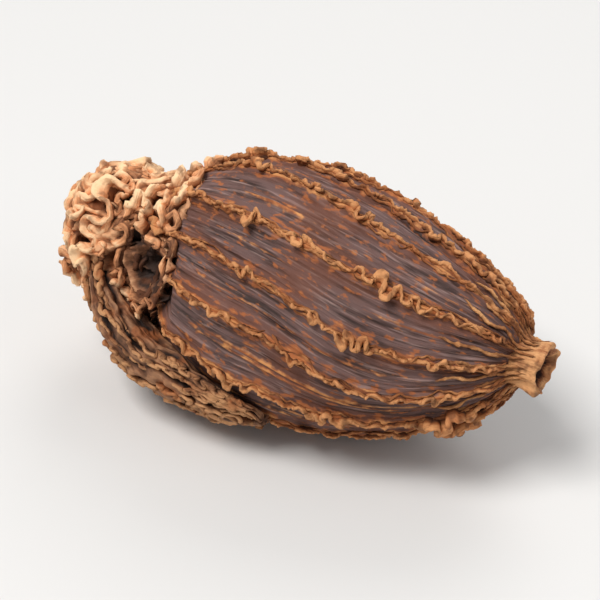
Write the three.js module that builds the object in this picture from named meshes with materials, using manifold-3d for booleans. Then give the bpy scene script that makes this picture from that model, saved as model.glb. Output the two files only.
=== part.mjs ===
// A dried black cardamom pod lying on its side, in millimetres, +Z up.
// Three pieces: the ribbed oval husk, the curled dry remains of the flower on its crown,
// and the short flared stub of the broken stalk at its tip.
// The long axis runs along X, crown towards -X and tip towards +X. The origin is on the
// surface that the pod lies on, under the middle of its box.

import * as THREE from 'three';
import { mergeVertices } from 'three/addons/utils/BufferGeometryUtils.js';
import Module from 'manifold-3d';

const wasm = await Module();
wasm.setup();

// Driving dimensions
const podLength = 34.5;
const podWidth = 17.9;
const ribHeight = 1.1;
const neckRadius = 1.4;
const bow = 0.9;
const restCut = 0.95;
const gap = 0.3;

// Angle of each rib round the axis, in degrees from the one underneath, on the crown's half
// and on the tip's half, and the shares of the length between which they pass from one to
// the other. The spacing is uneven, and three ribs underneath carry the pod.
const crownAngles = [0, 22, 45, 69, 94, 118, 140, 159, 181, 208, 230, 251, 280, 309, 336];
const tipAngles = [0, 22, 45, 69, 94, 118, 140, 159, 181, 209, 244, 271, 298, 320, 341];
const bendStart = 0.4;
const bendEnd = 0.85;

// Dried remains of the flower
const tuftReach = 7.7;
const tuftLap = 1.8;
const tuftRadius = 4.2;
const tuftOffset = [0, -0.5, -0.7];
const outerCurls = 8;
const innerCurls = 4;
const curlRadius = 1.15;
const curlThickness = 0.55;
const curlTurn = 0.5;

// Strap of the flower's remains that laps down the front of the husk: its inner and outer
// sides as [x, inner radius, outer radius], and its place round the axis in degrees
const strapSides = [
  [-14.4, 2.4, 4.4],
  [-12.6, 3, 6.6],
  [-10.6, 4.4, 8.6],
  [-7.8, 5.8, 9.7],
  [-4.6, 6.8, 9.8],
  [-1.6, 7.8, 9.6],
  [1.4, 7.8, 9],
];
const strapAngle = 305;
const strapHalfWidth = 2.8;

// Broken stalk
const stubLength = 1.8;
const stubFlare = 1.7;
const stubLobes = 7;
const cupDepth = 0.9;

// Fineness of the facets
const huskRows = 22;
const columnsPerRib = 6;
const coarseColumnsPerRib = 4;
const curlSides = 6;
const curlSteps = 9;
const ruffColumns = 32;
const columnsPerLobe = 4;
const strapRows = 16;
const strapColumns = 14;

// Worked out from the above
const ribCount = crownAngles.length;
const valleyRadius = podWidth / 2 - ribHeight;
const huskLength = podLength - tuftReach - gap - stubLength;
const crownX = -podLength / 2 + tuftReach;
const tipX = crownX + huskLength;
const axisHeight = podWidth / 2 - restCut;

const { sin, cos, PI } = Math;

// Radius of the valleys between the ribs, at a share along the husk from crown to tip:
// a blunt sine bulge, widest a third of the way from the crown, on top of a narrow neck.
function valleyAt(share) {
  const bulge = Math.max(0, sin(PI * share ** 0.7)) ** 0.6;
  return neckRadius + (valleyRadius - neckRadius) * bulge;
}

// Rise of the middle line towards both ends, because the belly hangs a little.
function bowAt(x) {
  return bow * ((2 * (x - crownX)) / huskLength - 1) ** 2;
}

// Angle round the axis at a place counted in ribs, in a straight line between ribs, and at
// a share along the husk.
function ribAngle(place, share) {
  const { lerp, smoothstep, degToRad } = THREE.MathUtils;
  const lower = Math.floor(place);
  const pastBend = smoothstep(share, bendStart, bendEnd);
  const [here, next] = [lower, lower + 1].map((rib) => {
    const turns = Math.floor(rib / ribCount);
    const number = rib - turns * ribCount;
    return lerp(crownAngles[number], tipAngles[number], pastBend) + 360 * turns;
  });
  return degToRad(lerp(here, next, place - lower));
}

// Slow sideways drift of all ribs along the husk, as an angle.
function ribDrift(share) {
  return 0.1 * sin(3.4 * share - 1.4);
}

// Height of a rib's crest over the valleys: it differs from rib to rib, rises and falls
// in small knobs along the rib, and dies down where the ribs crowd together at the ends.
function crestAt(rib, share) {
  const own = 1 + 0.14 * sin(2.3 * rib + 0.6);
  const knobs = 1 + 0.16 * sin(34 * share + 2.1 * rib);
  const ends = 0.25 + 0.75 * sin(PI * share) ** 0.6;
  return Math.min(ribHeight, ribHeight * own * knobs) * ends;
}

// A closed solid turned round the bowed middle line from a profile of [x, radius] pairs,
// where reshape(x, radius, angle) gives each point's new radius and angle. The angle is
// counted from the underside.
function turned(profile, segments, reshape) {
  const points = profile.map(([x, radius]) => new THREE.Vector2(radius, x));
  const geometry = new THREE.LatheGeometry(points, segments);
  const position = geometry.getAttribute('position');
  for (let i = 0; i < position.count; i++) {
    const x = position.getY(i);
    const radius = Math.hypot(position.getX(i), position.getZ(i));
    const angle = Math.atan2(position.getX(i), position.getZ(i));
    const [newRadius, newAngle] = reshape(x, radius, angle);
    position.setXYZ(i, x, newRadius * sin(newAngle), bowAt(x) - newRadius * cos(newAngle));
  }
  return geometry;
}

// A mesh geometry as a solid for cutting and joining.
function solidOf(geometry) {
  const bare = geometry.clone().deleteAttribute('normal').deleteAttribute('uv');
  const merged = mergeVertices(bare, 1e-3);
  const vertProperties = merged.getAttribute('position').array;
  const triVerts = new Uint32Array(merged.index.array);
  return new wasm.Manifold(new wasm.Mesh({ numProp: 3, vertProperties, triVerts }));
}

// A solid as a mesh geometry again.
function geometryOf(solid) {
  const mesh = solid.getMesh();
  const geometry = new THREE.BufferGeometry();
  geometry.setAttribute('position', new THREE.BufferAttribute(mesh.vertProperties, 3));
  geometry.setIndex(new THREE.BufferAttribute(mesh.triVerts, 1));
  geometry.computeVertexNormals();
  return geometry;
}

// The husk with its ribs, made larger all round by grow. The rows stand closer together
// towards both blunt ends.
function huskGeometry(grow, columns) {
  const profile = [[crownX - grow, 0]];
  for (let row = 0; row <= huskRows; row++) {
    const share = (1 - cos((PI * row) / huskRows)) / 2;
    profile.push([crownX - grow + (huskLength + 2 * grow) * share, valleyAt(share) + grow]);
  }
  profile.push([tipX + grow, 0]);
  return turned(profile, ribCount * columns, (x, radius, angle) => {
    const share = THREE.MathUtils.clamp((x - crownX) / huskLength, 0, 1);
    const place = (angle / (2 * PI)) * ribCount;
    const rib = Math.round(place);
    const slope = Math.max(0, 1 - 2 * Math.abs(place - rib)) ** 2.6;
    const number = (rib + ribCount) % ribCount;
    const onAxis = radius < 1e-6;
    const lift = onAxis ? 0 : crestAt(number, share) * slope;
    return [radius + lift, ribAngle(place, share) + ribDrift(share)];
  });
}

// A block that fills everything under the surface the pod lies on.
function groundSolid() {
  const block = new THREE.BoxGeometry(2 * podLength, 2 * podWidth, podWidth);
  block.translate(0, 0, -axisHeight - podWidth / 2);
  return solidOf(block);
}

// Husk: one piece with its ribs, worn flat where it lies on the ribs underneath.
function husk() {
  const whole = solidOf(huskGeometry(0, columnsPerRib));
  return geometryOf(whole.subtract(groundSolid()));
}

// One ring-shaped curl of dried fibre that stands on edge, facing out at an angle.
function curl(x, distance, angle) {
  const ring = new THREE.TorusGeometry(curlRadius, curlThickness, curlSides, curlSteps);
  ring.rotateY(PI / 2 - curlTurn);
  ring.translate(0, 0, -distance);
  ring.rotateX(angle);
  ring.translate(x, 0, bowAt(x));
  return solidOf(ring);
}

// The strap: a round-edged bar between its inner and its outer side, a little lumpy, pinched
// shut at both ends. Its length runs from 0 to 1 and its girth is a circle before it is bent.
function strap() {
  const sides = strapSides.map(([x, inner, outer]) => new THREE.Vector3(x, inner, outer));
  const curve = new THREE.CatmullRomCurve3(sides);
  const profile = [new THREE.Vector2(0, 0)];
  for (let row = 0; row <= strapRows; row++) {
    const share = (1 - cos((PI * row) / strapRows)) / 2;
    const girth = Math.min(1, 1.5 * sin(PI * share) ** 0.6) * (1 + 0.1 * sin(20 * share));
    if (row > 0 && row < strapRows) profile.push(new THREE.Vector2(girth, share));
  }
  profile.push(new THREE.Vector2(0, 1));
  const geometry = new THREE.LatheGeometry(profile, strapColumns);
  const position = geometry.getAttribute('position');
  for (let i = 0; i < position.count; i++) {
    const along = THREE.MathUtils.clamp(position.getY(i), 0, 1);
    const { x, y: inner, z: outer } = curve.getPoint(along);
    const middle = (inner + outer) / 2;
    const radius = middle + ((outer - inner) / 2) * position.getX(i);
    const across = (-strapHalfWidth * position.getZ(i)) / middle;
    const angle = THREE.MathUtils.degToRad(strapAngle) + across;
    position.setXYZ(i, x, radius * sin(angle), bowAt(x) - radius * cos(angle));
  }
  return solidOf(geometry);
}

// Dried remains of the flower: a round ruff with a hollow in its end, crowded with curls,
// which sits on the crown of the husk like a cap, a little off the middle, and the strap
// that hangs from it. Slivers that the husk's ribs cut off its edge are dropped.
function calyxTuft() {
  const end = -podLength / 2;
  const inside = crownX + tuftLap + gap;
  const profile = [
    [end + 3, 0],
    [end + 2, tuftRadius * 0.22],
    [end + 0.6, tuftRadius * 0.42],
    [end + 0.9, tuftRadius * 0.66],
    [end + 2.6, tuftRadius * 0.92],
    [end + 5, tuftRadius],
    [crownX, tuftRadius * 1.02],
    [crownX + tuftLap * 0.5, tuftRadius * 1.2],
    [crownX + tuftLap, tuftRadius * 1.4],
    [inside, tuftRadius * 1.2],
    [inside, 0],
  ];
  const ruff = turned(profile, ruffColumns, (x, radius, angle) => {
    const lobes = 1 + 0.06 * sin(outerCurls * angle) + 0.04 * sin(3 * angle + 1.2 * x);
    return [radius * lobes, angle];
  });
  const rings = [
    { count: innerCurls, x: end + curlRadius, distance: tuftRadius * 0.5 },
    { count: outerCurls, x: end + 2.8, distance: tuftRadius * 0.86 },
    { count: outerCurls, x: end + 5.6, distance: tuftRadius * 0.96 },
  ];
  let solid = solidOf(ruff);
  for (const [row, ring] of rings.entries()) {
    for (let i = 0; i < ring.count; i++) {
      const angle = (2 * PI * (i + row / 2)) / ring.count;
      solid = solid.add(curl(ring.x, ring.distance, angle));
    }
  }
  const room = solidOf(huskGeometry(gap, coarseColumnsPerRib));
  const cut = solid.translate(tuftOffset).add(strap()).subtract(room);
  const bodies = cut.decompose().sort((a, b) => b.volume() - a.volume());
  return geometryOf(bodies[0]);
}

// Broken stalk: a short flared stub with a lobed rim and a shallow cup in its end.
function stalkStub() {
  const start = tipX + gap;
  const end = start + stubLength;
  const profile = [
    [start, 0],
    [start, neckRadius * 0.95],
    [start + stubLength * 0.45, neckRadius * 0.9],
    [end - 0.35, stubFlare],
    [end, stubFlare * 0.92],
    [end - 0.25, stubFlare * 0.6],
    [end - cupDepth, stubFlare * 0.25],
    [end - cupDepth, 0],
  ];
  return turned(profile, stubLobes * columnsPerLobe, (x, radius, angle) => {
    const flare = (x - start) / stubLength;
    return [radius * (1 + 0.14 * flare * cos(stubLobes * angle)), angle];
  });
}

// Dark grey-brown husk, warmer and lighter remains of the flower, and tan stalk
function huskMaterial() {
  return new THREE.MeshStandardMaterial({ color: 0x5e4438, roughness: 0.85, metalness: 0 });
}

function tuftMaterial() {
  return new THREE.MeshStandardMaterial({ color: 0xa8744f, roughness: 0.9, metalness: 0 });
}

function stubMaterial() {
  return new THREE.MeshStandardMaterial({ color: 0xb9824f, roughness: 0.88, metalness: 0 });
}

function piece(name, geometry, material) {
  const mesh = new THREE.Mesh(geometry, material);
  mesh.name = name;
  return mesh;
}

// The pod, lifted onto the surface and centred over the origin
const pod = new THREE.Group();
pod.add(
  piece('husk', husk(), huskMaterial()),
  piece('calyx_tuft', calyxTuft(), tuftMaterial()),
  piece('stalk_stub', stalkStub(), stubMaterial()),
);
const box = new THREE.Box3().setFromObject(pod);
const middle = box.getCenter(new THREE.Vector3());
pod.position.set(-middle.x, -middle.y, -box.min.z);

export default pod;
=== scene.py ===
"""A dried black cardamom pod lying on its side on a pale studio floor."""

import math

import bpy
import numpy as np
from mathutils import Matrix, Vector


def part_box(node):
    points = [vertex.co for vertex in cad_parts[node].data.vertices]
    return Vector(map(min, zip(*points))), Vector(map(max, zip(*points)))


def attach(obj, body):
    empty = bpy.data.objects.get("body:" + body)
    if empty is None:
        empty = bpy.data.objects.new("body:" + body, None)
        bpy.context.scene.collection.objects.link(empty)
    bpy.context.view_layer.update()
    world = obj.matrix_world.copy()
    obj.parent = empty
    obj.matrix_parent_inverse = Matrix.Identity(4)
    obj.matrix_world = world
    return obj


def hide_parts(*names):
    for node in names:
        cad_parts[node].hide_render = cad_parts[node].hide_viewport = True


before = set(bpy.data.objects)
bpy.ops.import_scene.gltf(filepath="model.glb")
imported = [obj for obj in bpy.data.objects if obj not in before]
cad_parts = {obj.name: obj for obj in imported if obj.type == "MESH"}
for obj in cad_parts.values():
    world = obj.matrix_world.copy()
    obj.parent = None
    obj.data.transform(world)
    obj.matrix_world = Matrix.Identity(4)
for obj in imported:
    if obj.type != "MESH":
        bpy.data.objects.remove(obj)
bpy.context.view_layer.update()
MM = 0.001

# Camera: a long lens from the front right, looking down on the pod along its length a
# little, so that its crown is at the upper left and its tip points down to the right.
view_azimuth, view_elevation = math.radians(32), math.radians(35)
lens_mm, sensor_mm = 100, 36
picture_width = 38.5 * MM
look_at = Vector((-0.2 * MM, 0, 7.6 * MM))

to_camera = Vector(
    (
        math.sin(view_azimuth) * math.cos(view_elevation),
        -math.cos(view_azimuth) * math.cos(view_elevation),
        math.sin(view_elevation),
    )
)
camera_data = bpy.data.cameras.new("camera")
camera_data.lens, camera_data.sensor_width = lens_mm, sensor_mm
camera_data.clip_start, camera_data.clip_end = 1 * MM, 100
camera = bpy.data.objects.new("camera", camera_data)
camera.location = look_at + to_camera * (picture_width * lens_mm / sensor_mm)
camera.rotation_euler = (-to_camera).to_track_quat("-Z", "Y").to_euler()
bpy.context.collection.objects.link(camera)
bpy.context.scene.camera = camera

# Studio light: one large soft panel above and to the left of the camera, a weaker one
# behind the pod, and an even pale surround.


def soft_panel(name, azimuth, elevation, distance, size, watts):
    """A square light panel that faces the pod from a distance in metres, and from an azimuth
    and an elevation in degrees."""
    a, e = math.radians(azimuth), math.radians(elevation)
    away = Vector((math.sin(a) * math.cos(e), -math.cos(a) * math.cos(e), math.sin(e)))
    data = bpy.data.lights.new(name, "AREA")
    data.shape, data.size, data.energy = "SQUARE", size, watts
    panel = bpy.data.objects.new(name, data)
    panel.location = look_at + away * distance
    panel.rotation_euler = (-away).to_track_quat("-Z", "Y").to_euler()
    bpy.context.collection.objects.link(panel)


soft_panel("key_panel", azimuth=-25, elevation=62, distance=0.5, size=0.22, watts=2.2)
soft_panel("side_panel", azimuth=95, elevation=30, distance=0.5, size=0.25, watts=0.35)
soft_panel("back_panel", azimuth=190, elevation=45, distance=0.5, size=0.3, watts=0.7)

surround = bpy.data.worlds.new("surround")
surround.use_nodes = True
surround.node_tree.nodes["Background"].inputs["Color"].default_value = (0.95, 0.97, 1, 1)
surround.node_tree.nodes["Background"].inputs["Strength"].default_value = 0.36
bpy.context.scene.world = surround

bpy.context.scene.view_settings.view_transform = "Standard"

# Floor: a plain pale sheet of matt card, far larger than the picture. The pod lies loose on
# it, on the ribs underneath that are worn flat.
floor_half = 1.5


class Wire:
    """An output of a shader node. Arithmetic on it adds Math nodes."""

    def __init__(self, tree, socket):
        self.tree, self.socket = tree, socket

    def math(self, operation, *terms):
        """A Math node with its terms, each a number or a wire."""
        node = self.tree.nodes.new("ShaderNodeMath")
        node.operation = operation
        for place, term in zip(node.inputs, terms):
            if isinstance(term, Wire):
                self.tree.links.new(term.socket, place)
            else:
                place.default_value = term
        return Wire(self.tree, node.outputs[0])

    def __add__(self, other):
        return self.math("ADD", self, other)

    def __sub__(self, other):
        return self.math("SUBTRACT", self, other)

    def __rsub__(self, other):
        return self.math("SUBTRACT", other, self)

    def __mul__(self, other):
        return self.math("MULTIPLY", self, other)

    __radd__, __rmul__ = __add__, __mul__


class Finish:
    """A material with a Principled shader, and the nodes that feed it."""

    def __init__(self, name, **constants):
        self.material = bpy.data.materials.new(name)
        self.material.use_nodes = True
        self.tree = self.material.node_tree
        self.shader = self.tree.nodes["Principled BSDF"]
        for socket, value in constants.items():
            self.shader.inputs[socket.replace("_", " ")].default_value = value

    def node(self, kind, settings, inputs, output=0):
        """A node of a kind: its settings are set first, then its sockets by name or place."""
        node = self.tree.nodes.new("ShaderNode" + kind)
        for name, value in settings.items():
            setattr(node, name, value)
        for place, value in inputs.items():
            if isinstance(value, Wire):
                self.tree.links.new(value.socket, node.inputs[place])
            else:
                node.inputs[place].default_value = value
        return Wire(self.tree, node.outputs[output])

    def attribute(self, name, output="Fac"):
        """A value that the mesh carries at each of its points."""
        return self.node("Attribute", {"attribute_name": name}, {}, output)

    def noise(self, where, scale, detail, stretch=(1, 1, 1)):
        """Noise from 0 to 1 at a place: scale steps to the unit, fewer where an axis is
        stretched by less than 1, with detail finer layers on top."""
        place = self.node("VectorMath", {"operation": "MULTIPLY"}, {0: where, 1: stretch})
        inputs = {"Vector": place, "Scale": scale, "Detail": detail}
        return self.node("TexNoise", {}, inputs, "Fac")

    def ease(self, value, low, high):
        """An S-curve from 0 at low to 1 at high."""
        settings = {"interpolation_type": "SMOOTHSTEP"}
        return self.node("MapRange", settings, {"Value": value, 1: low, 2: high})

    def mix(self, first, second, factor):
        """A colour between two."""
        return self.node("Mix", {"data_type": "RGBA"}, {0: factor, 6: first, 7: second}, 2)

    def feed(self, socket, wire):
        """Links a wire to one of the shader's sockets."""
        self.tree.links.new(wire.socket, self.shader.inputs[socket])

    def bump(self, height, distance):
        """Feeds the shader's normal with a height from 0 to 1, which stands for a distance."""
        self.feed("Normal", self.node("Bump", {}, {"Height": height, "Distance": distance}))


def tint(code):
    """A linear colour from a web colour code: a straight line near black, and a power of
    2.4 over it."""
    parts = np.array([int(code[i : i + 2], 16) for i in (0, 2, 4)]) / 255
    linear = np.where(parts <= 0.04045, parts / 12.92, ((parts + 0.055) / 1.055) ** 2.4)
    return (*linear.tolist(), 1.0)


corners = [(-1, -1, 0), (1, -1, 0), (1, 1, 0), (-1, 1, 0)]
floor_mesh = bpy.data.meshes.new("floor")
floor_mesh.from_pydata([Vector(c) * floor_half for c in corners], [], [(0, 1, 2, 3)])
floor = bpy.data.objects.new("floor", floor_mesh)
bpy.context.collection.objects.link(floor)
floor_finish = Finish("floor", Roughness=0.6, Base_Color=tint("dcdad7"))
floor_mesh.materials.append(floor_finish.material)

# Husk: the tough dried skin of the fruit, one piece with its fifteen ribs. It is drawn
# along a bowed middle line as a blunt oval, its ribs wander a little, its valleys are
# wrinkled lengthwise, and it is worn flat where it lies on the floor.
husk_low, husk_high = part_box("husk")
crown_x, tip_x = husk_low[0], husk_high[0]
husk_length = tip_x - crown_x
pod_width = 17.9 * MM
rest_cut = 0.95 * MM
flat_softness = 0.12 * MM
axis_height = pod_width / 2 - rest_cut
bow = 0.9 * MM

# The ribs' angles from straight down, in degrees, at the crown and at the tip, and the
# shares of the husk's length between which they bend from the first to the second.
crown_angles = np.array([0, 22, 45, 69, 94, 118, 140, 159, 181, 208, 230, 251, 280, 309, 336])
tip_angles = np.array([0, 22, 45, 69, 94, 118, 140, 159, 181, 209, 244, 271, 298, 320, 341])
bend_start, bend_end = 0.4, 0.85
rib_count = len(crown_angles)

# A rib has a narrow crest on a broad shoulder: their widths in ribs, and their parts of its
# height. Thin fibres lie on top.
rib_height = 1.1 * MM
crest_width, shoulder_width = 0.075, 0.24
crest_part, shoulder_part = 0.32, 0.26
fibre_room = 0.06 * MM

# The side line in the valleys: its radii, and the powers that move its widest place towards
# the crown and make its ends blunt.
neck_radius = 1.4 * MM
valley_radius = pod_width / 2 - rib_height - fibre_room
side_skew, side_bluntness = 0.7, 0.6

# The hollow under the tuft's edge: its angle and spread round the husk, its depth, and the
# share of the husk's length where it ends, with the share over which it gets shallow.
hollow_angle = math.radians(254)
hollow_spread = 0.36
hollow_depth = 1.4 * MM
hollow_end, hollow_fade = 0.18, 0.07


def ripple(seed, x, y=0.0, wrap=256):
    """Smooth noise from -1 to 1 over two numbers: random heights at whole steps, joined by
    an S-curve of the fifth power. x repeats after wrap steps and y after 256."""
    heights = np.random.default_rng(seed).uniform(-1, 1, (256, 256))
    x, y = np.broadcast_arrays(np.asarray(x, float), np.asarray(y, float))
    low_x, low_y = np.floor(x), np.floor(y)
    ease = [f * f * f * (f * (f * 6 - 15) + 10) for f in (x - low_x, y - low_y)]
    column = [np.mod(low_x + k, wrap).astype(int) for k in (0, 1)]
    row = [np.mod(low_y + k, 256).astype(int) for k in (0, 1)]
    near = heights[column[0], row[0]] * (1 - ease[0]) + heights[column[1], row[0]] * ease[0]
    far = heights[column[0], row[1]] * (1 - ease[0]) + heights[column[1], row[1]] * ease[0]
    return near * (1 - ease[1]) + far * ease[1]


def rib_angle(place, share):
    """Angle from straight down of a place counted in ribs, at a share of the husk's length:
    straight lines from rib to rib, on an S-curve from the crown's angles to the tip's, plus
    a slow drift of all ribs."""
    knots = np.arange(-rib_count, 2 * rib_count + 1)
    turns = 360 * np.floor_divide(knots, rib_count)
    near, far = (a[np.mod(knots, rib_count)] + turns for a in (crown_angles, tip_angles))
    bend = np.clip((share - bend_start) / (bend_end - bend_start), 0, 1)
    bend = bend * bend * (3 - 2 * bend)
    degrees = np.interp(place, knots, near) * (1 - bend) + np.interp(place, knots, far) * bend
    drift = 0.1 * np.sin(3.4 * share - 1.4)
    return np.radians(degrees) + drift


def outline():
    """The husk's side line, as arrays of length along it, share of the husk's length, x and
    radius: a sine of a power of the share, to a power, on top of the neck."""
    share = (1 - np.cos(np.linspace(0, np.pi, 1201))) / 2
    bulge = np.maximum(0, np.sin(np.pi * share**side_skew)) ** side_bluntness
    radius = neck_radius + (valley_radius - neck_radius) * bulge
    x = crown_x + husk_length * share
    steps = np.hypot(np.diff(x), np.diff(radius))
    return np.concatenate([[0], np.cumsum(steps)]), share, x, radius


side_length, side_share, side_x, side_radius = outline()
side_slope_x = np.gradient(side_x, side_length)
side_slope_radius = np.gradient(side_radius, side_length)


def husk_hollow(place, share):
    """Depth, from 0 to 1, of the hollow in the husk's near side under the tuft's edge: a
    bell curve round the husk, and a straight slope along it."""
    off = (rib_angle(place, share) - hollow_angle) / hollow_spread
    return np.exp(-(off**2)) * np.clip((hollow_end - share) / hollow_fade, 0, 1)


def round_axis(x, share, radius, angle):
    """Points round the pod's middle line at a radius and an angle from straight down. The
    line rises towards both ends, with the square of the way from its middle, which the
    share of the husk's length gives."""
    rise = axis_height + bow * (2 * share - 1) ** 2
    return np.stack([x, radius * np.sin(angle), rise - radius * np.cos(angle)], -1)


def over_husk(along, place, lift):
    """Points over the husk, at a share along its side line, a place round it counted in
    ribs and a height over the valleys and the hollow, square to the side line."""
    at = np.clip(along, 0, 1) * side_length[-1]
    share = np.interp(at, side_length, side_share)
    slope_x = np.interp(at, side_length, side_slope_x)
    slope_radius = np.interp(at, side_length, side_slope_radius)
    lift = lift - hollow_depth * husk_hollow(place, share)
    x = np.interp(at, side_length, side_x) - slope_radius * lift
    radius = np.interp(at, side_length, side_radius) + slope_x * lift
    return round_axis(x, share, radius, rib_angle(place, share))


def settle(points):
    """Points pressed flat on the floor: each height is half the sum of itself and of the
    root of its square plus the softness squared, which rounds the corner."""
    z = points[..., 2]
    points[..., 2] = (z + np.sqrt(z * z + flat_softness**2)) / 2
    return points


def rib_wander(rib, along):
    """Sideways wander of a rib's crest, in ribs: slow noise plus quick, smaller noise."""
    slow = 0.05 * ripple(3, rib, along * 9, wrap=rib_count)
    quick = 0.022 * ripple(4, rib, along * 31, wrap=rib_count)
    return slow + quick


def rib_rise(rib, along):
    """Height of a rib's crest: a share that differs from rib to rib, plus slow rises and
    quick teeth of noise, kept from 0.45 to 1 of the full height, and lower at both ends."""
    own = 0.88 + 0.1 * np.sin(2.3 * rib + 0.6)
    slow = 0.16 * ripple(5, rib, along * 10, wrap=rib_count)
    teeth = 0.22 * ripple(6, rib, along * 44, wrap=rib_count)
    ends = 0.35 + 0.65 * np.sin(np.pi * np.clip(along, 0, 1)) ** 0.5
    return rib_height * np.clip(own + slow + teeth, 0.45, 1) * ends


def grid_mesh(name, points, values):
    """A closed skin from a grid of points [row, column]: columns run round, rows along, and
    the first and last rows are closed to their own middles. values are named arrays on the
    grid; a last axis of 3 makes a vector. The faces look out when the rows run towards +x
    and the columns run from straight down towards +y."""
    rows, columns = points.shape[:2]
    grid = np.arange(rows * columns).reshape(rows, columns)
    here, right = grid, np.roll(grid, -1, 1)
    quads = np.stack([here[:-1], right[:-1], right[1:], here[1:]], -1).reshape(-1, 4)
    vertices = points.reshape(-1, 3)
    faces = [quads]
    ends = []
    for row, flip in ((0, False), (-1, True)):
        ends.append(points[row].mean(0))
        middle = np.full(columns, rows * columns + len(ends) - 1)
        around = [here[row], right[row]] if flip else [right[row], here[row]]
        faces.append(np.stack([middle, *around], -1))
    vertices = np.vstack([vertices, *[e[None] for e in ends]])
    across = np.arange(columns) / columns
    down = np.arange(rows) / (rows - 1)
    u = np.broadcast_to(across, (rows, columns))
    v = np.broadcast_to(down[:, None], (rows, columns))
    step = 1 / columns
    quad_uv = [(u[:-1], v[:-1]), (u[:-1] + step, v[:-1]), (u[1:] + step, v[1:]), (u[1:], v[1:])]
    uv = [np.stack([np.stack(c, -1) for c in quad_uv], 2).reshape(-1, 2)]
    for row, flip in ((0, False), (-1, True)):
        rim = np.stack([u[row], v[row]], -1)
        next_rim = rim + (step, 0)
        order = [rim, next_rim] if flip else [next_rim, rim]
        uv.append(np.stack([(rim + next_rim) / 2, *order], 1).reshape(-1, 2))
    carried = {}
    for key, value in values.items():
        value = np.broadcast_to(value, (rows, columns, *value.shape[2:]))
        caps = [value[row].reshape(columns, -1).mean(0)[None] for row in (0, -1)]
        carried[key] = np.vstack([value.reshape(rows * columns, -1), *caps])
    return build_mesh(name, vertices, faces, np.vstack(uv), carried)


def build_mesh(name, vertices, faces, uv, values):
    """A mesh object from arrays: vertices, lists of faces by their number of corners, a
    texture place for each corner, and values at each vertex."""
    mesh = bpy.data.meshes.new(name)
    corners = np.concatenate([f.ravel() for f in faces])
    totals = np.concatenate([np.full(len(f), f.shape[1]) for f in faces])
    mesh.vertices.add(len(vertices))
    mesh.vertices.foreach_set("co", vertices.astype(np.float32).ravel())
    mesh.loops.add(len(corners))
    mesh.loops.foreach_set("vertex_index", corners.astype(np.int32))
    mesh.polygons.add(len(totals))
    mesh.polygons.foreach_set("loop_start", (np.cumsum(totals) - totals).astype(np.int32))
    mesh.update(calc_edges=True)
    layer = mesh.uv_layers.new(name="OFBake")
    layer.uv.foreach_set("vector", uv.astype(np.float32).ravel())
    for key, value in values.items():
        kind, field = ("FLOAT_VECTOR", "vector") if value.shape[1] == 3 else ("FLOAT", "value")
        stored = mesh.attributes.new(key, kind, "POINT")
        stored.data.foreach_set(field, value.astype(np.float32).ravel())
    mesh.polygons.foreach_set("use_smooth", np.ones(len(totals), bool))
    mesh.validate()
    piece = bpy.data.objects.new(name, mesh)
    bpy.context.collection.objects.link(piece)
    return piece


def husk_skin(rows=200, columns_per_rib=30):
    """The husk's surface: at each place round it the valley's radius, plus a narrow bell
    curve on a broad one at each rib, plus lengthwise wrinkles, thin raised lines and here
    and there a small extra ridge in mid-valley, all of noise stretched along the pod. A
    power of the way from each crest gathers the columns there."""
    along = np.linspace(0, 1, rows)[:, None]
    step = np.arange(rib_count * columns_per_rib)[None, :] / columns_per_rib
    rib = np.round(step)
    off = step - rib
    off = np.sign(off) * 0.5 * (2 * np.abs(off)) ** 1.25
    number = np.mod(rib, rib_count)
    place = rib + off + rib_wander(number, along) * (1 - 2 * np.abs(off)) ** 2
    narrow = np.exp(-((off / crest_width) ** 2))
    broad = np.exp(-((off / shoulder_width) ** 2))
    wrinkles = 0.1 * ripple(7, place * 6, along * 8, wrap=rib_count * 6)
    wrinkles = wrinkles + 0.05 * ripple(8, place * 14, along * 22, wrap=rib_count * 14)
    lines = 0.12 * (1 - np.abs(ripple(10, place * 8, along * 4, wrap=rib_count * 8))) ** 4
    between = np.floor(step + 0.5)
    extra = np.clip(ripple(9, between, along * 5, wrap=rib_count) + 0.1, 0, 1)
    extra = extra * np.exp(-(((np.abs(off) - 0.45) / 0.045) ** 2))
    fade = np.clip(np.sin(np.pi * along) * 4, 0, 1) * (1 - narrow)
    rise = rib_rise(number, along)
    fine = MM * fade * (wrinkles + lines + 0.2 * extra)
    lift = rise * (crest_part * narrow + shoulder_part * broad) + fine
    share = np.interp(along * side_length[-1], side_length, side_share)
    points = settle(over_husk(along, place, lift))
    turn = 2 * np.pi * place / rib_count
    length = np.broadcast_to(side_length[-1] / MM * along, place.shape)
    crest = narrow * (0.75 + 0.45 * rise / rib_height)
    values = {
        "grain": np.stack([length, 8 * np.cos(turn), 8 * np.sin(turn)], -1),
        "crest": np.clip(crest + 0.7 * extra + 3 * lines * (1 - narrow), 0, 1.3),
        "valley": 1 - broad,
        # The hollow's depth, which also paints shade, almost black, into it.
        "hollow": husk_hollow(place, share),
    }
    return grid_mesh("husk_skin", points, values)


# The first colour is the near black of painted shade in the hollows of husk and fibre; the second
# is the husk's own dark grey-brown.
painted_shade_colour, husk_dark = tint("150f0e"), tint("33231e")
husk_mid, husk_pale = tint("6a504b"), tint("9c7f77")
rust_deep, rust, rust_pale = tint("6e3d26"), tint("a96032"), tint("d08f57")


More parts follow.
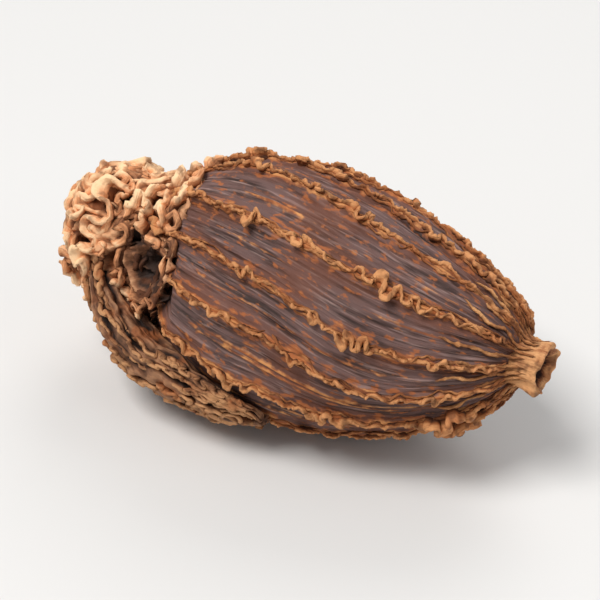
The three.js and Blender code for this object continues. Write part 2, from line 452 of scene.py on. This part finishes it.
def husk_finish():
    """Dry skin: grey-brown valleys streaked along the pod, rust-brown crests and loose
    specks, and painted shade, almost black, in the hollow. Each colour is laid over the ones
    before it by an S-curve of noise."""
    finish = Finish("husk", Specular_IOR_Level=0.3)
    grain = finish.attribute("grain", "Vector")
    crest = finish.attribute("crest")
    valley = finish.attribute("valley")
    streaks = finish.noise(grain, 2.6, 4, stretch=(0.09, 1, 1))
    fibres = finish.noise(grain, 5.5, 3, stretch=(0.07, 1, 1))
    patches = finish.noise(grain, 0.35, 3, stretch=(0.6, 1, 1))
    specks = finish.noise(grain, 3.2, 4, stretch=(0.45, 1, 1))
    colour = finish.mix(husk_dark, husk_mid, finish.ease(streaks, 0.34, 0.58))
    colour = finish.mix(colour, husk_pale, finish.ease(fibres, 0.5, 0.72) * 0.8)
    near_rib = finish.ease(valley, 0.9, 0.1)
    colour = finish.mix(colour, rust_deep, finish.ease(patches + near_rib * 0.12, 0.42, 0.7) * 0.6)
    colour = finish.mix(colour, rust, finish.ease(specks + near_rib * 0.08, 0.56, 0.7) * 0.8)
    on_crest = finish.ease(crest + (specks - 0.5) * 1.1, 0.34, 0.8)
    rusty = finish.mix(rust_deep, rust, finish.ease(patches, 0.3, 0.6))
    rusty = finish.mix(rusty, rust_pale, finish.ease(fibres + (specks - 0.5), 0.45, 0.75))
    colour = finish.mix(colour, rusty, on_crest)
    # Painted shade: the hollow is darkened almost to black by its depth.
    shade = finish.ease(finish.attribute("hollow"), 0.1, 0.6) * 0.9
    finish.feed("Base Color", finish.mix(colour, painted_shade_colour, shade))
    finish.feed("Roughness", 0.55 + streaks * 0.35)
    finish.bump(streaks * 0.6 + fibres * 0.5 + specks * 0.35, 0.22 * MM)
    return finish.material


husk = husk_skin()
husk.data.materials.append(husk_finish())
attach(husk, "root")
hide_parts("husk")

# Rib frills: the dried, crinkled edges of the ribs. Each is a thin torn sheet of fibre that
# stands on a crest and winds from side to side, most of all near the crown, where it curls
# up. Two thin fibres run beside it.
frill_start, frill_length = 0.03, 0.955
frill_waves = 23
frill_sink = 0.8 * MM
foot_part, foot_reach = 0.5, 0.4 * MM

# noise_shift moves crumple away from the origin, and tiny keeps a length of nothing from
# dividing.
noise_shift = 40
tiny = 1e-12


def crumple(seed, points):
    """Smooth noise from -1 to 1 over three numbers, the last axis of points, made as ripple
    is: random heights at whole steps, joined by S-curves of the fifth power. It repeats
    after 32 steps."""
    heights = np.random.default_rng(seed).uniform(-1, 1, (32, 32, 32))
    low = np.floor(points)
    f = points - low
    ease = f * f * f * (f * (f * 6 - 15) + 10)
    total = 0
    for corner in np.ndindex(2, 2, 2):
        at = np.mod(low + corner, 32).astype(int)
        share = np.prod(np.where(corner, ease, 1 - ease), -1)
        total = total + share * heights[at[..., 0], at[..., 1], at[..., 2]]
    return total


def crinkle(points, seed, size, scale):
    """Points moved by up to size along each axis, by crumple with scale steps to the metre."""
    moves = [crumple(seed + k, points * scale + noise_shift) for k in (0, 1, 2)]
    return points + size * np.stack(moves, -1)


def frill_sheet(sheet, thickness):
    """The rings of a thin sheet given by its middle points [step, level]: at each step up
    one side of it and down the other, half of its thickness away from the middle."""
    side = np.cross(np.gradient(sheet, axis=0), np.gradient(sheet, axis=1))
    side /= np.linalg.norm(side, axis=-1, keepdims=True) + tiny
    half = 0.5 * thickness[..., None] * side
    return np.concatenate([sheet + half, (sheet - half)[:, ::-1]], 1)


def horseshoe(phase, share):
    """How far a frill's wave stands across its line, in swings, and along it, in waves. Both
    grow from its foot to its edge. The second swing, along the line and twice as quick,
    bends the waves into horseshoes."""
    grow = share**0.8
    return grow * np.sin(phase), -0.13 * grow * np.sin(2 * phase)


def lip(share, foot, edge):
    """How thick a frill is over its height, against the thick lip just under its edge: a
    straight line from its foot to the lip, and another from there to its torn edge."""
    return np.interp(share, [0, 0.8, 1], [foot, 1, edge])


def cord(path, out, width, thickness, sides, twist, seed):
    """The rings of a tube along a path: at each step an oval square to the path, turned by
    twist from the outward direction, its radius roughened by noise over both."""
    ahead = np.gradient(path, axis=0)
    ahead /= np.linalg.norm(ahead, axis=1, keepdims=True) + tiny
    up = out - (out * ahead).sum(1, keepdims=True) * ahead
    up /= np.linalg.norm(up, axis=1, keepdims=True) + tiny
    side = np.cross(ahead, up)
    steps = np.arange(len(path))[:, None]
    around = np.arange(sides)[None, :]
    angle = 2 * np.pi * around / sides
    grit = 1 + 0.24 * ripple(seed, around, steps * 0.3, wrap=sides)
    flat, high = width[:, None] * np.cos(angle) * grit, thickness[:, None] * np.sin(angle) * grit
    turn = twist[:, None]
    on_side = flat * np.cos(turn) - high * np.sin(turn)
    on_up = flat * np.sin(turn) + high * np.cos(turn)
    return path[:, None] + on_side[..., None] * side[:, None] + on_up[..., None] * up[:, None]


def join_cords(name, cords, values, strips=1):
    """One mesh of many tubes, each a (steps, sides, 3) array of rings and closed at both
    ends, with a dictionary of values at its points. On the texture map every tube is laid
    out as a number of strips, one under the other, with its ends in a thin band beside
    them."""
    vertices, quads, ends, uvs, end_uvs = [], [], [], [], []
    start = 0
    height = 1 / (len(cords) * strips)
    strip_length, strip_height, end_place = 0.97, 0.9, 0.985
    for index, rings in enumerate(cords):
        steps, sides = rings.shape[:2]
        grid = start + np.arange(steps * sides).reshape(steps, sides)
        right = np.roll(grid, -1, 1)
        quads.append(np.stack([grid[:-1], grid[1:], right[1:], right[:-1]], -1).reshape(-1, 4))
        reach = np.arange(steps) * strips / (steps - 1)
        strip = np.minimum(np.floor(reach[:-1]), strips - 1)
        near, far = (strip_length * (r - strip) for r in (reach[:-1], reach[1:]))
        band = strip_height * height * np.arange(sides + 1) / sides
        base = (index * strips + strip)[:, None] * height
        corner = [(near, band[:-1]), (far, band[:-1]), (far, band[1:]), (near, band[1:])]
        uv = [np.stack(np.broadcast_arrays(u[:, None], base + v[None, :]), -1) for u, v in corner]
        uvs.append(np.stack(uv, 2).reshape(-1, 2))
        vertices.append(rings.reshape(-1, 3))
        turn = 2 * np.pi * np.arange(sides) / sides
        disc = np.stack([end_place + 0.005 * np.cos(turn), 0.5 + 0.4 * np.sin(turn)], -1)
        for row, flip in ((0, False), (steps - 1, True)):
            ends.append(grid[row][::-1] if flip else grid[row])
            end_uvs.append((disc + (0, index * strips + (strips - 1 if flip else 0))) * (1, height))
        start += steps * sides
    faces = [np.vstack(quads), *[e[None] for e in ends]]
    carried = {}
    for key in values[0]:
        grids = [v[key] for v in values]
        carried[key] = np.vstack([g.reshape(g.shape[0] * g.shape[1], -1) for g in grids])
    return build_mesh(name, np.vstack(vertices), faces, np.vstack([*uvs, *end_uvs]), carried)


def along_rib(rib, along, sideways, lift, foot=None):
    """Points beside a rib's crest: sideways and lift in metres, on top of its wander and of
    half its rise, which falls in a bell curve with the foot's way from the crest. The foot
    is sideways where none is given. In the hollow the points sink."""
    at = np.clip(along, 0, 1) * side_length[-1]
    spacing = 2 * np.pi * (np.interp(at, side_length, side_radius) + rib_height) / rib_count
    place = rib + rib_wander(rib, along) + sideways / spacing
    foot = sideways if foot is None else foot
    over = rib_rise(rib, along) * foot_part * np.exp(-((foot / foot_reach) ** 2))
    sunk = frill_sink * husk_hollow(rib, np.interp(at, side_length, side_share))
    return over_husk(along, place, over + lift - sunk)


# The strongest curls of some ribs: where each is along the rib and how far it reaches.
strong_curls = {
    6: [(0.3, 0.03)],
    7: [(0.24, 0.04), (0.36, 0.02)],
    8: [(0.3, 0.03)],
    9: [(0.38, 0.014), (0.5, 0.022), (0.68, 0.016)],
    10: [(0.12, 0.04), (0.66, 0.014)],
    11: [(0.1, 0.06)],
    12: [(0.87, 0.07)],
    13: [(0.88, 0.07)],
}


def curliness(rib, t):
    """How much a rib's edge curls up, mostly from 0 to 1: in patches, most of all near the
    crown, and further still in its strongest curls."""
    shoulder = 0.5 * np.exp(-(((t - 0.05) / 0.06) ** 2))
    patches = ripple(100 + rib, t * 20) + 0.5 * ripple(130 + rib, t * 50)
    curl = np.clip(1.6 * (patches - 0.4 * t + shoulder) + 0.1, 0, 1)
    for middle, reach in strong_curls.get(rib, []):
        curl = np.maximum(curl, 1.5 * np.exp(-(((t - middle) / reach) ** 4)))
    return curl


def ends_taper(t, steepness=60):
    """1 along a cord, and down a straight slope to almost nothing at both of its ends."""
    return np.clip(np.minimum(t, 1 - t) * steepness, 0.05, 1)


def frill(rib, steps=620, levels=5):
    """The crinkled edge of one rib: a sheet that winds a little from side to side, rises and
    winds further where it curls, and has a torn edge with a thick lip. It stays low in the
    middle of the pod. Only the strongest curls near the ends stand up."""
    t = np.linspace(0, 1, steps)[:, None]
    share = np.linspace(0, 1, levels)[None, :]
    seed = 200 + rib * 10
    curl = curliness(rib, t)
    strong = np.clip(curl - 1, 0, 1)
    phase = 2 * np.pi * frill_waves * t + 3.5 * ripple(seed, t * 14) + rib
    swing = MM * (0.13 + 0.42 * curl) * (0.45 + 0.55 * np.sin(np.pi * t) ** 0.4)
    swing = swing * (1 + 0.45 * ripple(seed + 8, t * 40))
    across, ahead = horseshoe(phase, share)
    foot = MM * (0.09 * ripple(seed + 1, t * 70) + 0.04 * ripple(seed + 2, t * 160))
    torn = 1 + 0.3 * ripple(seed + 3, t * 90) + 0.25 * ripple(seed + 4, t * 230)
    tall = MM * (0.26 + 0.24 * curl + 0.9 * strong) * torn * ends_taper(t, 20)
    near_end = np.clip(np.abs(t - 0.5) - 0.22, 0, 0.1)
    tallest = MM * (0.34 + 11 * strong * near_end)
    sideways = foot + swing * across + 0.12 * MM * share**2 * ripple(seed + 5, t * 18)
    lift = np.minimum(tall * (1.3 * share - 0.3), tallest)
    along = frill_start + frill_length * t + curl * ahead / frill_waves
    sheet = along_rib(rib, along, sideways, lift, foot + 0 * share)
    sheet = crinkle(crinkle(sheet, 50, 0.09 * MM, 2100), 53, 0.05 * MM, 5200)
    lumps = 1 + 0.3 * ripple(seed + 6, t * 110) + 0.2 * ripple(seed + 7, share * 3, t * 260)
    thickness = MM * (0.2 + 0.08 * curl) * lip(share, 0.8, 0.5) * lumps * ends_taper(t)
    return settle(frill_sheet(sheet, thickness))


def fibre(rib, number, steps=420, sides=5):
    """A thin loose fibre that runs beside a rib's crest and crosses it now and then: a cord
    that noise moves sideways and up and down, and twists and thickens."""
    t = np.linspace(0, 1, steps)
    seed = 400 + rib * 11 + number * 5
    begin, end = frill_start + 0.02 * number, frill_start + frill_length
    along = begin + (end - begin) * t
    side = 1 if number % 2 else -1
    sideways = MM * (side * 0.17 + 0.2 * ripple(seed, t * 24) + 0.06 * ripple(seed + 1, t * 90))
    lift = MM * (0.1 + 0.1 * ripple(seed + 2, t * 50))
    path = along_rib(rib, along, sideways, lift)
    out = along_rib(rib, along, sideways, lift + 0.5 * MM) - path
    width = MM * 0.1 * (1 + 0.4 * ripple(seed + 3, t * 60)) * ends_taper(t)
    twist = 3 * ripple(seed + 4, t * 30)
    return settle(cord(path, out, width, 0.65 * width, sides, twist, seed))


def grain_of(index, rings):
    """A place for the grain of one tube, in millimetres: the length along it, and a circle
    round it. Each tube has its own part of the noise."""
    steps, sides = rings.shape[:2]
    middle = rings.mean(1)
    reach = np.concatenate([[0], np.cumsum(np.linalg.norm(np.diff(middle, axis=0), axis=1))])
    turn = 2 * np.pi * np.arange(sides) / sides
    length = reach[:, None] / MM + 37 * index
    return np.stack(np.broadcast_arrays(length, np.cos(turn), np.sin(turn) + 5 * index), -1)


def frill_values(cords):
    """For each cord its grain, and how far each point stands out from the cord's middle,
    away from the pod's axis, from -1 to 1. It paints shade on the side towards the pod and a
    highlight on the side away from it."""
    full_height = 0.2 * MM
    centre = np.array([0, 0, axis_height])
    values = []
    for index, rings in enumerate(cords):
        distance = np.linalg.norm((rings - centre)[..., 1:], axis=-1)
        inner = np.linalg.norm((rings.mean(1) - centre)[..., 1:], axis=-1)[:, None]
        high = np.clip((distance - inner) / full_height, -1, 1)
        values.append({"grain": grain_of(index, rings), "high": high})
    return values


def fibre_finish(name, *codes):
    """Dried fibre: streaked along each strand, with painted shade where it is low and a
    painted highlight where it is high, rust-brown patches and small deep stains, and painted
    shade, almost black, in the one deep hollow."""
    deep, mid, pale = (tint(code) for code in codes)
    finish = Finish(name, Specular_IOR_Level=0.3)
    grain = finish.attribute("grain", "Vector")
    high = finish.attribute("high")
    place = finish.node("TexCoord", {}, {}, "Object")
    streaks = finish.noise(grain, 2.2, 3, stretch=(0.5, 1.6, 1.6))
    patches = finish.noise(place, 420, 3)
    spots = finish.noise(place, 1900, 3)
    # Random tone plus painted light: painted shade where a point stands low, a painted highlight
    # where it stands high.
    tone_and_painted_light = streaks * 0.45 + patches * 0.8 + high * 0.32
    colour = finish.mix(deep, mid, finish.ease(tone_and_painted_light, 0.38, 0.72))
    colour = finish.mix(colour, pale, finish.ease(tone_and_painted_light + spots * 0.4, 0.8, 1.15))
    rusty = finish.ease(finish.noise(place, 650, 2), 0.5, 0.68)
    colour = finish.mix(colour, rust, rusty * 0.6)
    stained = finish.ease(finish.noise(place, 1300, 2), 0.5, 0.68)
    colour = finish.mix(colour, deep, stained * 0.55)
    # Painted shade, almost black, in the one deep hollow, where the height falls under -1.
    colour = finish.mix(colour, painted_shade_colour, finish.ease(high, -1, -2.6) * 0.85)
    finish.feed("Base Color", colour)
    finish.feed("Roughness", 0.55 + spots * 0.4)
    finish.bump(streaks * 0.7 + spots * 0.9, 0.16 * MM)
    return finish.material


rib_finish = fibre_finish("rib_fibre", "4a2a1a", "a86335", "d69560")
frill_cords = [frill(rib) for rib in range(rib_count)]
frills = join_cords("rib_frills", frill_cords, frill_values(frill_cords))
fibre_cords = [fibre(rib, number) for rib in range(rib_count) for number in (0, 1)]
rib_fibres = join_cords("rib_fibres", fibre_cords, frill_values(fibre_cords))
for piece in (frills, rib_fibres):
    piece.data.materials.append(rib_finish)
    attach(piece, "root")
    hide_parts("husk")

# Calyx tuft: the dried remains of the flower on the crown. A crumpled core, folded like
# brain coral, carries three frills of curled fibre, wound round it from its edge to the
# dent in its end. All of it is brittle rust-brown fibre, with painted shade in its holes.
tuft_centre = np.array([-0.15 * MM, -0.6 * MM, axis_height + 0.85 * MM])

# How much the hollow takes from the height that sets the fibre's painted shade and highlight, which
# paints the hollow almost black.
hollow_shade = 2.4

# The core's side line: x and radius in millimetres, from its edge over the husk to the
# bottom of the dent in its end.
tuft_line = np.array(
    [
        (-7.5, 6.0),
        (-8.7, 5.0),
        (-10.4, 4.1),
        (-12.4, 4.1),
        (-14.2, 3.8),
        (-15.4, 3.0),
        (-15.75, 2.1),
        (-15.75, 1.4),
        (-14.9, 0.8),
        (-14.2, 0.2),
    ]
)


def smooth_line(knots, count):
    """A smooth curve through knots, a Catmull-Rom spline that stops a hair before the last
    one, at count even steps of length."""
    padded = np.vstack([2 * knots[0] - knots[1], knots, 2 * knots[-1] - knots[-2]])
    t = np.linspace(0, len(knots) - 1 - 1e-9, 40 * len(knots))
    i = t.astype(int)
    f = (t - i)[:, None]
    a, b, c, d = (padded[i + k] for k in range(4))
    cubic = (2 * a - 5 * b + 4 * c - d) * f**2 + (3 * b - a - 3 * c + d) * f**3
    curve = 0.5 * (2 * b + (c - a) * f + cubic)
    reach = np.concatenate([[0], np.cumsum(np.linalg.norm(np.diff(curve, axis=0), axis=1))])
    even = np.linspace(0, reach[-1], count)
    return np.stack([np.interp(even, reach, column) for column in curve.T], -1)


def folds(seed, points, width):
    """Rounded folds that wind about: half circles over smooth noise, 1 high where it is
    nothing and flat where it is more than width."""
    return np.sqrt(np.clip(1 - (crumple(seed, points) / width) ** 2, 0, 1))


# How far the tuft's edge laps over the husk, in millimetres, by the angle in degrees from
# straight down.
lap_angles = [0, 90, 150, 200, 235, 255, 278, 310, 360]
lap_widths = [-1.6, -1.2, 0.2, 1.2, 1.9, 1.8, 0.3, -1, -1.6]
tuft_curve = smooth_line(tuft_line, 400)
tuft_slope = np.gradient(tuft_curve, axis=0)
tuft_slope /= np.linalg.norm(tuft_slope, axis=1, keepdims=True)


def tuft_hollow(along, angle):
    """Depth, from 0 to 1, of the hollow in the tuft's near side, just behind its edge: a bell
    curve round the tuft and along it."""
    spread, middle, reach = 0.33, 0.16, 0.11
    off = np.mod(angle - hollow_angle + np.pi, 2 * np.pi) - np.pi
    return np.exp(-((off / spread) ** 2) - ((along - middle) / reach) ** 2)


def over_tuft(along, angle):
    """Points on the tuft's round core, with the directions along its side line, round it
    and out of it. Slow bulges make it lobed, its edge laps over the husk on the near side and
    falls short of it underneath, and it has one deep hollow."""
    rows = np.clip(along, 0, 1) * (len(tuft_curve) - 1)
    lines = (*tuft_curve.T, *tuft_slope.T)
    x, radius, slope_x, slope_r = (np.interp(rows, np.arange(len(c)), c) for c in lines)
    lap = np.interp(np.degrees(angle) % 360, lap_angles, lap_widths)
    lap = lap * np.clip(1 - along / 0.3, 0, 1)
    x, radius = x + lap, radius + np.where(lap < 0, 0.45, 0.6) * lap
    radius = radius * (1 - 0.5 * tuft_hollow(along, angle))
    turn = angle / (2 * np.pi)
    radius = radius * (1 + 0.13 * ripple(20, turn * 5, along * 3, wrap=5))
    x_way = np.array([1.0, 0, 0])
    round_out = np.stack([np.zeros_like(angle), np.sin(angle), -np.cos(angle)], -1)
    round_on = np.stack([np.zeros_like(angle), np.cos(angle), np.sin(angle)], -1)
    down = slope_x[..., None] * x_way + slope_r[..., None] * round_out
    out = slope_r[..., None] * x_way - slope_x[..., None] * round_out
    points = MM * (x[..., None] * x_way + radius[..., None] * round_out) + tuft_centre
    return points, down, round_on, out


def tuft_core(rows=190, columns=400):
    """The core's skin: the higher of two sizes of winding folds over the round core, bent by
    slow noise, with deep pits between them and a fine roughness."""
    along = np.linspace(0, 1, rows)[:, None]
    angle = 2 * np.pi * np.arange(columns)[None, :] / columns
    along, angle = np.broadcast_arrays(along, angle)
    points, _, _, out = over_tuft(along, angle)
    at = points / MM + noise_shift
    bent = at + 0.7 * np.stack([crumple(seed, at * 0.7) for seed in (24, 25, 26)], -1)
    big, small = folds(27, bent * 0.55, 0.32), folds(28, bent * 1.1, 0.3)
    height = np.maximum(big, 0.75 * small) + 0.12 * crumple(29, at * 4)
    points = points + out * MM * (1.1 * height - 0.9)[..., None]
    # high paints shade in the pits between the folds, almost black in the hollow, and a highlight
    # on the tops of the folds.
    high = 2.2 * height - 1.3 - hollow_shade * tuft_hollow(along, angle)
    values = {"grain": at[::-1], "high": high[::-1]}
    return grid_mesh("calyx_core", points[::-1], values)


def tuft_frill(number, turns, wave, swing, tall, thick, steps_per_wave=22, levels=6):
    """A frill wound round the core, in millimetres: its foot goes round in even turns, and
    its edge swings in horseshoes, one to a wave, that grow and shrink and lean by slow noise.
    Gives its rings, and their values with how high each point stands on it."""
    seed = 600 + 20 * number
    foot_depth, shade_to_highlight_height = 0.35, 0.35
    angle = np.linspace(0, 2 * np.pi * turns, 4000)
    along = 0.03 + 0.94 * angle / angle[-1]
    rows = along * (len(tuft_curve) - 1)
    radius = np.interp(rows, np.arange(len(tuft_curve)), tuft_curve[:, 1])
    waves = np.cumsum(radius) * angle[1] / wave
    even = np.linspace(waves[0], waves[-1], int(waves[-1] * steps_per_wave))
    angle, along = np.interp(even, waves, angle), np.interp(even, waves, along)
    along, angle = along + 0.03 * ripple(seed + 9, even * 0.8), angle + 2.1 * number
    points, down, on, out = over_tuft(along, angle)
    hollow = tuft_hollow(along, angle)[:, None]
    even, share = even[:, None], np.linspace(0, 1, levels)[None, :]
    across, ahead = horseshoe(2 * np.pi * even + 2.2 * ripple(seed, even * 0.7), share)
    reach = swing * (1 + 0.6 * ripple(seed + 1, even * 0.9) + 0.25 * ripple(seed + 2, even * 4))
    reach = reach * ends_taper(even / even[-1], 25) * (1 - 0.5 * hollow)
    lean = 0.5 * share**2 * ripple(seed + 3, even * 0.6)
    rise = tall * (1 + 0.4 * ripple(seed + 4, even * 1.3) + 0.16 * ripple(seed + 5, even * 7))
    lift = rise * (1 - hollow) * share - foot_depth
    offsets = (reach * across + lean, 1.2 * wave * ahead + lean, lift)
    ways = (down, on, out)
    sheet = points[:, None] + MM * sum(d[..., None] * w[:, None] for d, w in zip(offsets, ways))
    sheet = crinkle(crinkle(sheet, 56, 0.34 * MM, 800), 59, 0.13 * MM, 2600)
    lumps = 1 + 0.3 * ripple(seed + 6, even * 4) + 0.25 * ripple(seed + 7, share * 3, even * 12)
    thickness = MM * thick * lumps * lip(share, 0.5, 0.55)
    rings = frill_sheet(sheet, thickness * ends_taper(even / even[-1], 200))
    both = np.concatenate([lift, lift[:, ::-1]], 1)
    # Painted light: shade low on the frill and almost black in the hollow, a highlight high on it,
    # turning at the second of these heights.
    high = np.clip((both - shade_to_highlight_height) / 0.5, -1, 1) - hollow_shade * hollow
    return rings, {"grain": grain_of(number, rings), "high": high}


core = tuft_core()
core.data.materials.append(fibre_finish("calyx_core", "35231a", "9a6747", "d8a277"))
windings = [
    tuft_frill(0, turns=6, wave=1.6, swing=0.7, tall=1.1, thick=0.36),
    tuft_frill(1, turns=5, wave=2.0, swing=0.95, tall=0.85, thick=0.4),
    tuft_frill(2, turns=5, wave=1.2, swing=0.55, tall=0.95, thick=0.26, steps_per_wave=20),
]
rings, ring_values = zip(*windings)
tuft_frills = join_cords("calyx_frills", rings, ring_values, strips=24)
tuft_frills.data.materials.append(fibre_finish("calyx_fibre", "633b25", "e8a06d", "ffd3a4"))
for piece in (core, tuft_frills):
    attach(piece, "root")
    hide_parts("calyx_tuft")

# Calyx strap: a thick tongue of the same dried fibre, which hangs from the tuft and laps
# down over the lower front of the husk. Its strands run lengthwise, and its edges curl.
strap_angle = math.radians(305)
strap_half_width = 2.45
strand_room = 0.6
strap_waves = 16

# Down the strap: x, and the distances of its inner and its outer side from the middle line
# of the pod, in millimetres.
strap_knots = np.array(
    [
        (-14.4, 2.4, 4.4),
        (-12.6, 3.0, 6.6),
        (-10.6, 4.4, 8.6),
        (-7.8, 5.8, 9.7),
        (-4.6, 6.8, 9.8),
        (-1.6, 7.8, 9.6),
        (1.4, 7.8, 9.0),
    ]
)
strap_line = smooth_line(strap_knots, 200)


def over_strap(along, turn, lift):
    """Points on the strap: a share along it, an angle round its section from the side that
    faces up the husk, where a quarter turn is outwards, and millimetres over its skin. The
    section is an oval between the inner and outer sides, bent round the pod's axis."""
    along, turn, lift = np.broadcast_arrays(along, turn, lift)
    rows = np.clip(along, 0, 1) * (len(strap_line) - 1)
    x, inner, outer = (np.interp(rows, np.arange(len(strap_line)), c) for c in strap_line.T)
    girth = np.clip(1.5 * np.sin(np.pi * np.clip(along, 0.004, 0.996)) ** 0.5, 0, 1)
    middle, half = (inner + outer) / 2, (outer - inner) / 2 - strand_room
    angle = strap_angle + (strap_half_width * girth + lift) * -np.cos(turn) / middle
    radius = (middle + (half * girth + lift) * np.sin(turn)) * MM
    return settle(round_axis(x * MM, (x * MM - crown_x) / husk_length, radius, angle))


def strap_skin(rows=220, columns=240):
    """The strap's skin: ten rounded strands, a sine of five times the turn, that noise makes
    wander along it, and fine lines of noise."""
    along = np.linspace(0, 1, rows)[:, None]
    turn = 2 * np.pi * np.arange(columns)[None, :] / columns
    share = turn / (2 * np.pi)
    bend = 0.3 * ripple(40, share * 6, along * 6, wrap=6)
    strands = 0.42 * np.abs(np.sin(5 * (turn + bend))) ** 0.8
    lines = 0.09 * ripple(41, share * 40, along * 9, wrap=40)
    lines = lines + 0.05 * ripple(42, share * 90, along * 30, wrap=90)
    lift = strands + lines
    values = {
        "grain": np.stack(np.broadcast_arrays(along * 16, 3 * np.cos(turn), 3 * np.sin(turn)), -1),
        # Painted light: shade in the grooves between the strands, a highlight on their tops.
        "high": np.clip(4.5 * lift - 1.2, -1, 1),
    }
    points = crinkle(over_strap(along, turn, lift), 65, 0.16 * MM, 1300)
    return grid_mesh("calyx_strap", settle(points), values)


def strap_frill(number, turn, swing, tall, steps=420, levels=5):
    """A frill along the strap at an angle round its section, with its own swing and height
    in millimetres. It is made as a rib's frill is, and curls most at both ends."""
    section_radius = 2.2
    t, share = np.linspace(0, 1, steps)[:, None], np.linspace(0, 1, levels)[None, :]
    seed = 800 + 10 * number
    curl = np.clip(0.7 + ripple(seed, t * 9), 0.2, 1.3)
    curl = curl * (1 + 1.1 * np.clip(1 - t / 0.45, 0, 1) + 1.6 * np.clip((t - 0.6) / 0.25, 0, 1))
    phase = 2 * np.pi * strap_waves * t + 2.5 * ripple(seed + 1, t * 8) + number
    across, ahead = horseshoe(phase, share)
    aside = turn + 0.14 * ripple(seed + 2, t * 7) + swing * curl * across / section_radius
    torn = 1 + 0.35 * ripple(seed + 3, t * 30) + 0.2 * ripple(seed + 4, t * 90)
    near_tuft = np.clip(1 - t / 0.4, 0, 1)
    lift = np.minimum(tall * curl * torn, 0.5 + 0.5 * near_tuft) * share + 0.1
    sheet = over_strap(0.02 + 0.96 * t + curl * ahead / strap_waves, aside, lift)
    sheet = crinkle(sheet, 62, 0.12 * MM, 2200)
    lumps = 1 + 0.3 * ripple(seed + 5, t * 60) + 0.2 * ripple(seed + 6, share * 3, t * 150)
    thickness = MM * (0.26 + 0.1 * near_tuft) * lip(share, 0.8, 0.5) * lumps
    return settle(frill_sheet(sheet, thickness * ends_taper(t, 30)))


strap = strap_skin()
strap.data.materials.append(fibre_finish("calyx_strap", "261710", "6a4530", "a67755"))

# The strap's frills: where each is round the section, how far it swings and how tall it is.
frill_turns = [0.15, 0.5, 0.8, 1.15, 1.5, 1.9, 2.3, 2.7]
frill_swings = [0.2, 0.06, 0.08, 0.1, 0.2, 0.3, 0.3, 0.3]
frill_heights = [0.4, 0.4, 0.45, 0.45, 0.45, 0.45, 0.4, 0.4]
strap_places = zip(frill_turns, frill_swings, frill_heights)
strap_sheets = [strap_frill(number, *place) for number, place in enumerate(strap_places)]
strap_frills = join_cords("calyx_strap_frills", strap_sheets, frill_values(strap_sheets))
strap_frills.data.materials.append(fibre_finish("strap_fibre", "3f2718", "93603e", "cc9566"))
for piece in (strap, strap_frills):
    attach(piece, "root")
    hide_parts("calyx_tuft")

# Stalk stub: the broken end of the fruit's stalk, a short flared cup of dry fibre. The
# strands of the ribs run on over the neck of the husk and up its side, and its rim is torn.
strand_count = 2 * rib_count

# The cup's side line: x and radius in millimetres, from the husk's neck over the rim to the
# bottom inside.
stub_line = np.array(
    [
        (14.9, 1.6),
        (15.5, 1.42),
        (16.1, 1.4),
        (16.6, 1.5),
        (16.93, 1.6),
        (17.05, 1.45),
        (16.8, 1.15),
        (16.3, 0.85),
        (15.8, 0.1),
    ]
)


def stub_skin(rows=90, columns=210):
    """The stub's skin: its side line turned round the axis, with seven lobes that deepen
    towards the rim and fine grooves, and a torn rim."""
    curve = smooth_line(stub_line, rows)
    along = np.linspace(0, 1, rows)[:, None]
    angle = 2 * np.pi * np.arange(columns)[None, :] / columns
    turn = angle / (2 * np.pi)
    x, radius = curve[:, :1], curve[:, 1:]
    flare = np.clip((x - 15.2) / 1.8, 0, 1)
    lobes = 1 + 0.06 * flare * np.cos(7 * angle) + 0.07 * ripple(30, turn * 30, 0, wrap=30)
    radius = radius * (lobes + 0.08 * flare * ripple(31, turn * 15, along * 3, wrap=15))
    x = x - 0.06 + 0.16 * flare**3 * ripple(32, turn * 22, 0, wrap=22)
    points = round_axis(MM * x, 1, MM * radius, angle)
    length = np.broadcast_to(along * 4, radius.shape)
    # Painted light: shade deep inside the cup, a highlight on the lobes.
    inside = np.clip(along - 0.6, 0, 0.5)
    high = 0.8 - 14 * inside + 6 * (lobes - 1)
    values = {
        "grain": np.stack([length, 3 * np.cos(angle) * radius, 3 * np.sin(angle) * radius], -1),
        "high": np.clip(high, -2, 1),
    }
    return grid_mesh("stalk_cup", points, values)


# The line of the strands: x and radius in millimetres, from the ribs' ends to the rim.
strand_x = [11.6, 13.0, 14.2, 14.9, 15.4, 16.1, 16.8]
strand_radius = [5.0, 4.1, 3.1, 2.2, 1.6, 1.4, 1.56]
strand_line = smooth_line(np.stack([strand_x, strand_radius], -1), 120)


def stub_strand(number, steps=150, sides=6):
    """A strand from a rib over the neck of the husk to the stub's rim, almost straight, with
    its own start and end."""
    t = np.linspace(0, 1, steps)
    seed = 900 + 5 * number
    first, last = 0.3 * abs(ripple(seed, 0.5)), 1 - 0.2 * abs(ripple(seed, 7.5))
    rows = (first + (last - first) * t) * (len(strand_line) - 1)
    x, radius = (np.interp(rows, np.arange(len(strand_line)), c) for c in strand_line.T)
    share = (x * MM - crown_x) / husk_length
    place = rib_count * number / strand_count
    angle = rib_angle(place, share) + 0.07 * ripple(seed + 1, t * 5)
    radius = (radius + 0.05 * ripple(seed + 2, t * 14)) * MM
    path = round_axis(x * MM, share, radius, angle)
    out = np.stack([0 * x, np.sin(angle), -np.cos(angle)], -1)
    width = MM * 0.12 * (1 + 0.35 * ripple(seed + 3, t * 18)) * ends_taper(t, 8)
    return cord(path, out, width, 0.8 * width, sides, 2 * ripple(seed + 4, t * 8), seed)


stub = stub_skin()
stub.data.materials.append(fibre_finish("stalk_cup", "31170e", "9c5f3a", "dda26d"))
strand_cords = [stub_strand(number) for number in range(strand_count)]
strands = join_cords("stalk_strands", strand_cords, frill_values(strand_cords))
strands.data.materials.append(fibre_finish("stalk_strand", "5a3420", "b57444", "e2a66e"))
for piece in (stub, strands):
    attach(piece, "root")
    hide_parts("stalk_stub")
